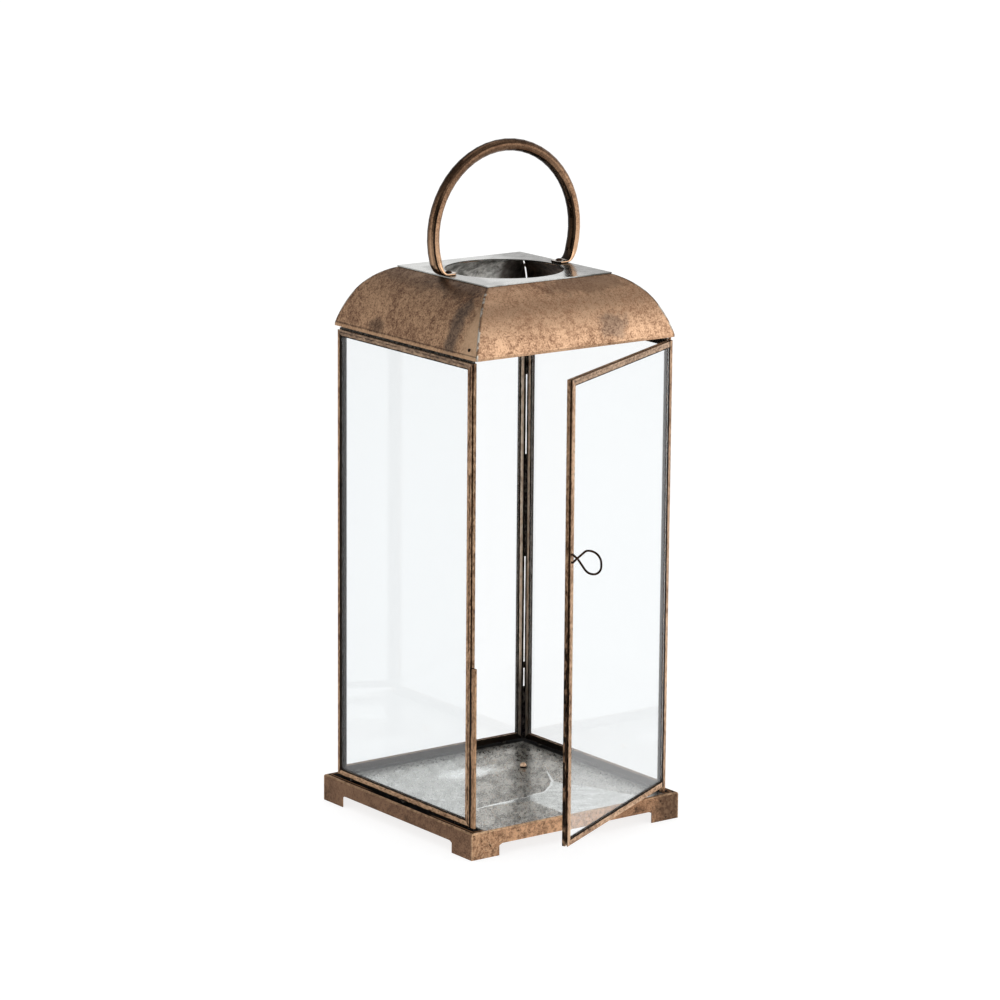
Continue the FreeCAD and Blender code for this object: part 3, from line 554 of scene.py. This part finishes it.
for side in (-1, 1):
    for start, end in run_heights:
        add_bead(side, start, end, run_section)
    for (_, start), (end, _) in zip(run_heights, run_heights[1:]):
        add_bead(side, start, end, side_flash)
        add_bead(side, start, end, back_flash)
bead_mesh = bpy.data.meshes.new("corner_solder_runs")
bead_mesh.from_pydata(corner_points, [], corner_faces)
shell = bmesh.new()
shell.from_mesh(bead_mesh)
bmesh.ops.recalc_face_normals(shell, faces=shell.faces)
shell.to_mesh(bead_mesh)
shell.free()
bead_mesh.materials.append(solder)
corner_runs = bpy.data.objects.new("corner_solder_runs", bead_mesh)
bpy.context.scene.collection.objects.link(corner_runs)
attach(corner_runs, "lantern")
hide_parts("corner_solder")

# Door. A fourth framed pane. Three of its strips are folded like those of the fixed panels, and the
# hinge stile is rolled round the rod along its whole height. The free stile's edge is painted black as
# shade, most of all below the pull.
hinge = Vector(frame["joints"][0]["pos_m"])
low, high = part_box("door_glass")
door_run = Vector((low.x + high.x, low.y + high.y, 0.0)) / 2 - Vector((hinge.x, hinge.y, 0.0))
door_facing = Vector((-door_run.y, door_run.x, 0.0)).normalized()
door_grain = (0.45, 0.85, 1.0)
door_run.normalize()
for index, (strip_name, inward, black_edge, grain) in enumerate((
        ("free_stile", -door_run, 0.95, upright_grain), ("hinge_stile", door_run, 0.3, upright_grain),
        ("top_rail", -up, 0.5, door_grain), ("bottom_rail", up, 0.5, door_grain))):
    strip_metal("door_" + strip_name, door_facing, hinge.dot(door_facing), inward, black_edge, grain,
                (0.41, 0.23 * index, 0.11), **strip_marks["door_" + strip_name])

# Pull loop. One length of bronze wire, gone dark all over, bent to a crossed loop. Its two ends are
# soldered into the fold of the free stile.
wire_bronze, tree, shader = finish_material("wire_bronze")
wire = aged_copper(tree, "6A4E3A", "3A2A21", "17110D", 0.55, 0.8, (0.2, 0.6, 0.3))
tree.links.new(wire["Color"], shader.inputs["Base Color"])
tree.links.new(wire["Roughness"], shader.inputs["Roughness"])
shader.inputs["Metallic"].default_value = 0.95
wear("pull_loop", wire_bronze)

# Closing strip, hinge rod and collar. The strip is folded from the same sheet and fixed to the left
# panel's front edge, with a line of painted shade beside the stile. The rod stands in the base and in the
# eave, and the collar on it carries the door.
edge_copper, tree, shader = finish_material("edge_copper")
edge = aged_copper(tree, "D3A984", "9A7659", "3F2F24", 0.50, 0.95, (0.9, 0.4, 0.2), upright_grain)
spot = put(tree, "TexCoord").outputs["Object"]
strip_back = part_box("closing_strip")[1].y
ragged = figure(tree, "SUBTRACT", cloud(tree, scaled(tree, spot, (1.0, 1.0, 0.12)), 260.0, 3.0, 0.6), 0.5)
from_back = figure(tree, "SUBTRACT", strip_back, along(tree, spot, (0.0, 1.0, 0.0)))
# Painted shade: a black line down the strip's edge beside the stile, where the gap falls in shade.
beside_stile = ramp(tree, figure(tree, "MULTIPLY_ADD", ragged, 0.005, from_back), 0.0024, 0.0019, 0.0, 0.96)
on_left = ramp(tree, along(tree, spot, (1.0, 0.0, 0.0)), -0.07, -0.08)
beside_stile = figure(tree, "MULTIPLY", beside_stile, on_left)
dress(tree, shader, blend(tree, beside_stile, edge["Color"], tone("0E0A07")), edge["Roughness"],
      relief(tree, edge["Height"], 0.3, 0.0004), 0.9)
for piece_name in ("closing_strip", "hinge_rod", "hinge_collar"):
    wear(piece_name, edge_copper)


# Roof. Four panels of copper sheet, rolled to a curve and soldered along the hips, with small rivets at
# the front lower corners. Outside they are rubbed brown and stained, each in its own way, with a painted
# shadow of the handle's foot on the left panel and a painted highlight and line of shade along the hem;
# inside the sheet is bare and grey, painted lighter on the back panel and darker in shade on the right.
def roof_metal(name, tones, under_tones, hem_share, shift, stains, shadowed_end=0.0):
    made, tree, shader = finish_material(name + "_metal")
    copper = aged_copper(tree, tones[0], tones[1], tones[2], 0.49, 0.7, shift)
    spot = put(tree, "TexCoord").outputs
    colour = copper["Color"]
    for centre, size, strength, code in stains:
        mark = figure(tree, "MULTIPLY", stain(tree, spot["Object"], centre, size, 1.6), strength)
        colour = blend(tree, mark, colour, tone(code))
    x, y, z = put(tree, "SeparateXYZ", {0: spot["Object"]}).outputs
    off_hip = figure(tree, "ABSOLUTE", figure(tree, "SUBTRACT", figure(tree, "ABSOLUTE", x),
                                              figure(tree, "ABSOLUTE", y)))
    seam = figure(tree, "MULTIPLY", ramp(tree, off_hip, 0.0018, 0.0006), 0.6)
    colour = blend(tree, seam, colour, tone("3A2B21"))
    beads = figure(tree, "MULTIPLY", ramp(tree, off_hip, 0.0014, 0.0007),
                   ramp(tree, cloud(tree, spot["Object"], 110.0, 3.0), 0.47, 0.54))
    colour = blend(tree, beads, colour, tone("CFC8BD"))
    # Painted shade and highlight: a dark line of shade above the hem, and the rolled edge below it painted
    # bright.
    above_eave = figure(tree, "SUBTRACT", z, eave_height)
    hem = figure(tree, "MULTIPLY", ramp(tree, above_eave, 0.0022, 0.0026),
                 ramp(tree, above_eave, 0.0036, 0.0030))
    colour = blend(tree, figure(tree, "MULTIPLY", hem, 0.6 * hem_share), colour, tone("30231A"))
    rolled_edge = ramp(tree, above_eave, 0.0022, 0.0016, 0.0, 0.6 * hem_share)
    colour = blend(tree, rolled_edge, colour, tone("DDB48D"))
    under = ramp(tree, put(tree, "SeparateXYZ", {0: spot["Normal"]}).outputs["Z"], -0.01, -0.04)
    shade_and_soot = cloud(tree, spot["Object"], 150.0, 7.0, 0.68, 0.4)
    inside = blend(tree, ramp(tree, shade_and_soot, 0.35, 0.65), tone(under_tones[0]), tone(under_tones[1]))
    # Painted shade: the inside darker towards the right end.
    inside = blend(tree, ramp(tree, x, 0.044, 0.054, 0.0, shadowed_end), inside, tone("3A2E25"))
    dress(tree, shader, blend(tree, under, colour, inside), copper["Roughness"],
          relief(tree, copper["Height"], 0.25, 0.0005), 0.9)
    wear(name, made)


eave_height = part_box("roof_left")[0].z
rubbed_tones = ("DFB693", "B78D6E", "7E5F4A")
brown_tones = ("D8AE89", "967157", "3E2E24")
grey_inside = ("5E5B56", "B4B1AB")
roof_metal("roof_front", rubbed_tones, grey_inside, 0.1, (0.15, 0.35, 0.55), [
    ((0.033, -0.083, 0.358), (0.015, 0.02, 0.011), 0.5, "635A54"),
    # Front panel: a grey-blue stain low by the front hip, and darker along the top.
    ((0.030, -0.060, 0.385), (0.052, 0.012, 0.009), 0.55, "664C3A"),
])
roof_metal("roof_left", brown_tones, grey_inside, 0.9, (0.55, 0.85, 0.25), [
    # Left panel: lighter low by the front hip, a grey stain, a painted shadow of the handle's left foot
    # reaching forward along the top, darker along the top further back, and a dark patch low towards the
    # back.
    ((-0.080, -0.076, 0.360), (0.03, 0.014, 0.060), 0.8, "E6C09B"),
    ((-0.080, -0.052, 0.362), (0.03, 0.009, 0.034), 0.62, "504B47"),
    ((-0.058, -0.030, 0.384), (0.014, 0.034, 0.011), 0.6, "3A2B21"),
    ((-0.055, 0.020, 0.388), (0.02, 0.060, 0.014), 0.45, "433226"),
    ((-0.083, 0.035, 0.352), (0.02, 0.012, 0.006), 0.5, "413730"),
])
# Right panel: the inside painted dark as shade.
roof_metal("roof_right", rubbed_tones, ("241B15", "5C4B3D"), 0.5, (0.95, 0.15, 0.75), [
    ((0.080, 0.030, 0.360), (0.03, 0.010, 0.016), 0.6, "4A413B"),
])
# Back panel: the inside painted light, where light falls in through the vent, and darker in shade at its
# right end.
roof_metal("roof_back", brown_tones, ("77746E", "DAD7D1"), 0.5, (0.35, 0.65, 0.05), [
    ((-0.020, 0.080, 0.362), (0.012, 0.03, 0.014), 0.6, "4A413B"),
], shadowed_end=0.85)
# Roof rivets: painted light on their crowns and painted shade round their lower sides.
wear("roof_rivets", rivet_metal("rivet_copper", 0.45, 0.85))

# Top plate. A flat square of sheet with a round vent cut through it, held on the roof by the handle's
# rivets. Its copper is worn to a grey shine, darker towards the right.
plate_metal, tree, shader = finish_material("plate_metal")
spot = put(tree, "TexCoord").outputs["Object"]
plate_mottle = cloud(tree, spot, 150.0, 6.0, 0.65, 0.4)
plate_cloud = cloud(tree, spot, 30.0, 3.0, 0.5, 0.5)
plate_tone = blend(tree, ramp(tree, plate_mottle, 0.36, 0.66), tone("BBBBB7"), tone("DCDDDA"))
darkened = figure(tree, "MAXIMUM", ramp(tree, plate_cloud, 0.5, 0.7, 0.0, 0.5),
                ramp(tree, along(tree, spot, (1.0, 0.0, 0.0)), 0.015, 0.040, 0.0, 0.97))
dress(tree, shader, blend(tree, darkened, plate_tone, tone("57554F")),
      ramp(tree, plate_mottle, 0.3, 0.7, 0.12, 0.26), relief(tree, plate_mottle, 0.07, 0.0004), 0.9)
wear("top_plate", plate_metal)

# Handle. A round copper bar bent to a ring, its ends beaten flat and riveted to the plate. It is rubbed
# brown and darker round the top, with painted shade on the inside, where the bar turns from the front and
# under the feet, a black line along the front of its left foot painted as a reflection, and painted
# highlights on the tabs.
handle_copper, tree, shader = finish_material("handle_copper")
bar = aged_copper(tree, "C39A78", "85634B", "30231B", 0.49, 0.7, (0.45, 0.05, 0.65))
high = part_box("handle")[1]
plate_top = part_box("top_plate")[1].z
spot = put(tree, "TexCoord").outputs
to_middle = put(tree, "VectorMath", {0: (0.0, 0.0, high.z - high.x), 1: spot["Object"]},
                operation="SUBTRACT").outputs[0]
to_middle = put(tree, "VectorMath", {0: to_middle}, operation="NORMALIZE").outputs[0]
inner_side = along(tree, to_middle, spot["Normal"])
height = along(tree, spot["Object"], (0.0, 0.0, 1.0))
facing_up = along(tree, spot["Normal"], (0.0, 0.0, 1.0))
dark_top = ramp(tree, height, high.z - 0.055, high.z - 0.012, 0.0, 0.75)
colour = blend(tree, dark_top, bar["Color"], tone("443225"))
rubbed_foot = ramp(tree, height, plate_top + 0.045, plate_top + 0.012, 0.0, 0.6)
colour = blend(tree, rubbed_foot, colour, tone("E6BB95"))
right_half = ramp(tree, along(tree, spot["Object"], (1.0, 0.0, 0.0)), -0.010, 0.020)
# Painted shade: the inside of the ring is darker, most of all on the right half.
inner_dark = figure(tree, "MULTIPLY_ADD", right_half, 0.22, inner_side)
inner_dark = ramp(tree, inner_dark, 0.62, 0.86, 0.0, 0.9)
colour = blend(tree, figure(tree, "MULTIPLY", inner_dark, between(tree, right_half, 0.45, 1.0)),
               colour, tone("1C140E"))
facing_front = along(tree, spot["Normal"], (0.0, -1.0, 0.0))
facing_right = along(tree, spot["Normal"], (1.0, 0.0, 0.0))
line_side = figure(tree, "ABSOLUTE", figure(tree, "ADD", facing_right, 0.50))
# Painted reflection: a black line along the front of the left leg, low down.
bar_line = figure(tree, "MULTIPLY", ramp(tree, line_side, 0.24, 0.10, 0.0, 0.92),
                  ramp(tree, facing_front, 0.35, 0.55))
bar_line = figure(tree, "MULTIPLY", bar_line, ramp(tree, height, plate_top + 0.062, plate_top + 0.044))
colour = blend(tree, bar_line, colour, tone("17110C"))
# Painted shade: darker where the bar turns away from the front.
colour = blend(tree, ramp(tree, facing_front, 0.35, 0.0, 0.0, 0.8), colour, tone("241B15"))
# Painted shade: near black on the undersides just above the feet.
at_foot = ramp(tree, height, plate_top + 0.016, plate_top + 0.009)
colour = blend(tree, figure(tree, "MULTIPLY", at_foot, ramp(tree, facing_up, -0.25, -0.55, 0.0, 0.9)),
               colour, tone("15100C"))
# Painted highlight: the tops of the flat tabs are pale.
on_tab = figure(tree, "MULTIPLY", ramp(tree, height, plate_top + 0.0030, plate_top + 0.0022),
                ramp(tree, facing_up, 0.7, 0.95, 0.0, 0.8))
dress(tree, shader, blend(tree, on_tab, colour, tone("E0D4C6")),
      figure(tree, "MULTIPLY", bar["Roughness"], 0.40), relief(tree, bar["Height"], 0.1, 0.0003), 0.95)
wear("handle", handle_copper)
wear("handle_rivets", wire_bronze)

# Stage. A plain white sweep of paper under the lantern, which keeps a soft shadow. In the metal it shows
# brighter on the right, and dark where the camera stands.
floor_mesh = bpy.data.meshes.new("studio_floor")
floor_reach = 8.0
paper_level = 1.24
paper_share = 0.65
glass_level = 1.015
mirrored_share = 0.93
floor_mesh.from_pydata(
    [(-floor_reach, -floor_reach, 0), (floor_reach, -floor_reach, 0),
     (floor_reach, floor_reach, 0), (-floor_reach, floor_reach, 0)], [], [(0, 1, 2, 3)])
studio_floor = bpy.data.objects.new("studio_floor", floor_mesh)
bpy.context.scene.collection.objects.link(studio_floor)
white_sweep, tree, shader = finish_material("white_sweep")
spot = put(tree, "TexCoord").outputs["Object"]
grain = cloud(tree, spot, 60.0, 3.0)
tree.links.new(blend(tree, grain, (0.86, 0.86, 0.86, 1.0), (0.9, 0.9, 0.9, 1.0)),
               shader.inputs["Base Color"])
shader.inputs["Roughness"].default_value = 0.9
rays = put(tree, "LightPath").outputs
seen = figure(tree, "MAXIMUM", rays["Is Camera Ray"], rays["Is Transmission Ray"])
shown = figure(tree, "MAXIMUM", seen, rays["Is Glossy Ray"])
bright_side = ramp(tree, along(tree, spot, (0.8, -0.6, 0.0)), -0.07, 0.03, 0.58, 1.0)
compass = put(tree, "VectorMath", {0: spot}, operation="NORMALIZE").outputs[0]
camera_side = ramp(tree, along(tree, compass, (-0.594, -0.804, 0.0)), 0.92, 0.98)
far_off = ramp(tree, put(tree, "VectorMath", {0: spot}, operation="LENGTH").outputs["Value"], 0.5, 0.9)
dark_front = figure(tree, "MULTIPLY", figure(tree, "MULTIPLY", camera_side, far_off), 0.97)
reflected = figure(tree, "MULTIPLY", bright_side, figure(tree, "SUBTRACT", 1.0, dark_front))
level = between(tree, rays["Is Camera Ray"], between(tree, seen, reflected, glass_level), paper_level)
glow = put(tree, "Emission", {"Color": (1.0, 1.0, 1.0, 1.0), "Strength": level})
share = between(tree, rays["Is Camera Ray"], mirrored_share, paper_share)
sweep = put(tree, "MixShader", {0: figure(tree, "MULTIPLY", shown, share),
                                1: shader.outputs[0], 2: glow.outputs[0]})
tree.links.new(sweep.outputs[0], tree.nodes["Material Output"].inputs["Surface"])
floor_mesh.materials.append(white_sweep)

# Studio. A white room, a little dimmer on the left and overhead, with a dark gap at the camera's place,
# and two soft boxes: a square one at the front right and a wider one above.
world = bpy.data.worlds.new("studio")
bpy.context.scene.world = world
world.use_nodes = True
tree = world.node_tree
rays = put(tree, "LightPath").outputs
seen = figure(tree, "MAXIMUM", rays["Is Camera Ray"], rays["Is Transmission Ray"])
direction = put(tree, "TexCoord").outputs["Generated"]
x, y, z = put(tree, "SeparateXYZ", {0: direction}).outputs
wall = ramp(tree, x, -0.45, 0.30, 0.56, 1.0)
ceiling = ramp(tree, z, 0.16, 0.74, 1.0, 0.27)
dark_gap = ramp(tree, along(tree, direction, (-0.58, -0.785, 0.20)), 0.88, 0.96, 1.0, 0.03)
room_level = figure(tree, "MULTIPLY", figure(tree, "MULTIPLY", wall, ceiling), dark_gap)
level = between(tree, rays["Is Glossy Ray"], 0.85, room_level)
tree.links.new(between(tree, seen, level, 1.0), tree.nodes["Background"].inputs["Strength"])
tree.nodes["Background"].inputs["Color"].default_value = (1.0, 1.0, 1.0, 1.0)

lit_middle = Vector((0.0, 0.0, 0.22))


def soft_box(name, place, size, radiance):
    lamp = bpy.data.lights.new(name, "AREA")
    lamp.shape = "RECTANGLE"
    lamp.size, lamp.size_y = size
    lamp.energy = radiance * math.pi * size[0] * size[1]
    made = bpy.data.objects.new(name, lamp)
    made.location = place
    made.rotation_euler = (lit_middle - Vector(place)).to_track_quat("-Z", "Y").to_euler()
    bpy.context.scene.collection.objects.link(made)


soft_box("right_box", (1.6, -2.0, 0.9), (1.4, 1.4), 0.95)
soft_box("top_box", (0.5, 0.2, 2.4), (1.6, 1.6), 0.6)

# Camera. The photograph's angle: a long lens, a little above the lantern and off to its left, with the
# small roll and shift of the photograph's framing.
view_turn = math.radians(-36.448)
view_rise = math.radians(12.521)
view_roll = math.radians(0.4617)
view_distance = 2.9777
view_target = Vector((0.0, 0.0, 0.22465))
toward = Vector((math.sin(view_turn) * math.cos(view_rise), -math.cos(view_turn) * math.cos(view_rise),
                 math.sin(view_rise)))
lens = bpy.data.cameras.new("photo_view")
lens.sensor_width = 36.0
lens.lens = 153.216
lens.shift_x = -0.0023
camera = bpy.data.objects.new("photo_view", lens)
aim = (-toward).to_track_quat("-Z", "Y").to_matrix().to_4x4()
roll = Matrix.Rotation(view_roll, 4, "Z")
camera.matrix_world = Matrix.Translation(view_target + toward * view_distance) @ aim @ roll
bpy.context.scene.collection.objects.link(camera)
bpy.context.scene.camera = camera
bpy.context.scene.view_settings.view_transform = "Standard"
